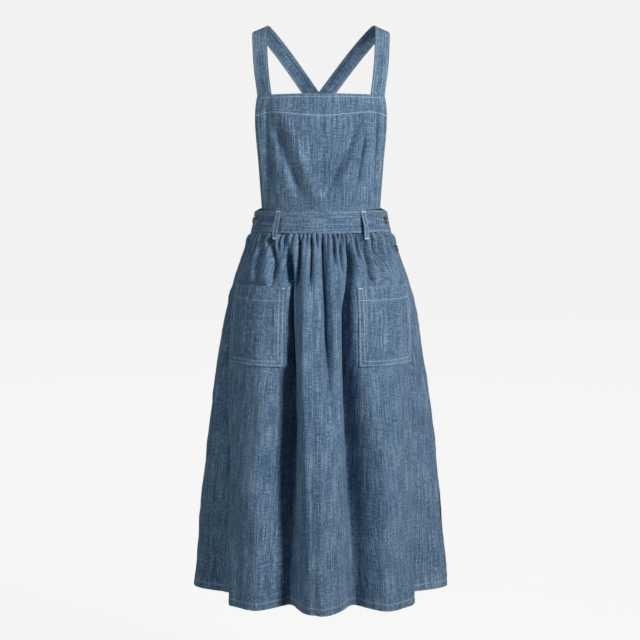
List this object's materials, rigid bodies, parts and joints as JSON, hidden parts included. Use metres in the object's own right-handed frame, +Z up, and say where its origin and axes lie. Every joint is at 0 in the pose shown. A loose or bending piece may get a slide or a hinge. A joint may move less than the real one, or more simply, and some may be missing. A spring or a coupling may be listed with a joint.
{
  "type": "pinafore dress",
  "caption": "Chambray pinafore dress filled out as worn: bib, crossed shoulder straps, waistband with belt loops, gathered midi skirt and patch pockets.",
  "frame": {"origin": "where the wearer holds the dress up: midway between the crests of the two shoulder straps, level with their undersides", "axes": "+Z up along the dress's length, +X to the right as seen from the front, -Y to the front"},
  "size_m": [0.5452, 0.5021, 1.1949],
  "materials": {
    "chambray": "matte",
    "button_metal": "satin"
  },
  "bodies": {
    "root": {"skirt_front": "chambray", "skirt_back": "chambray", "waistband_front": "chambray", "waistband_back": "chambray", "bib": "chambray", "strap_left": "chambray", "strap_right": "chambray", "pocket_left": "chambray", "pocket_right": "chambray", "belt_loop_front_left": "chambray", "belt_loop_front_right": "chambray", "belt_loop_back_left": "chambray", "belt_loop_back_right": "chambray", "button_band_left": "button_metal", "button_band_right": "button_metal", "button_skirt_right": "button_metal"}
  },
  "joints": []
}
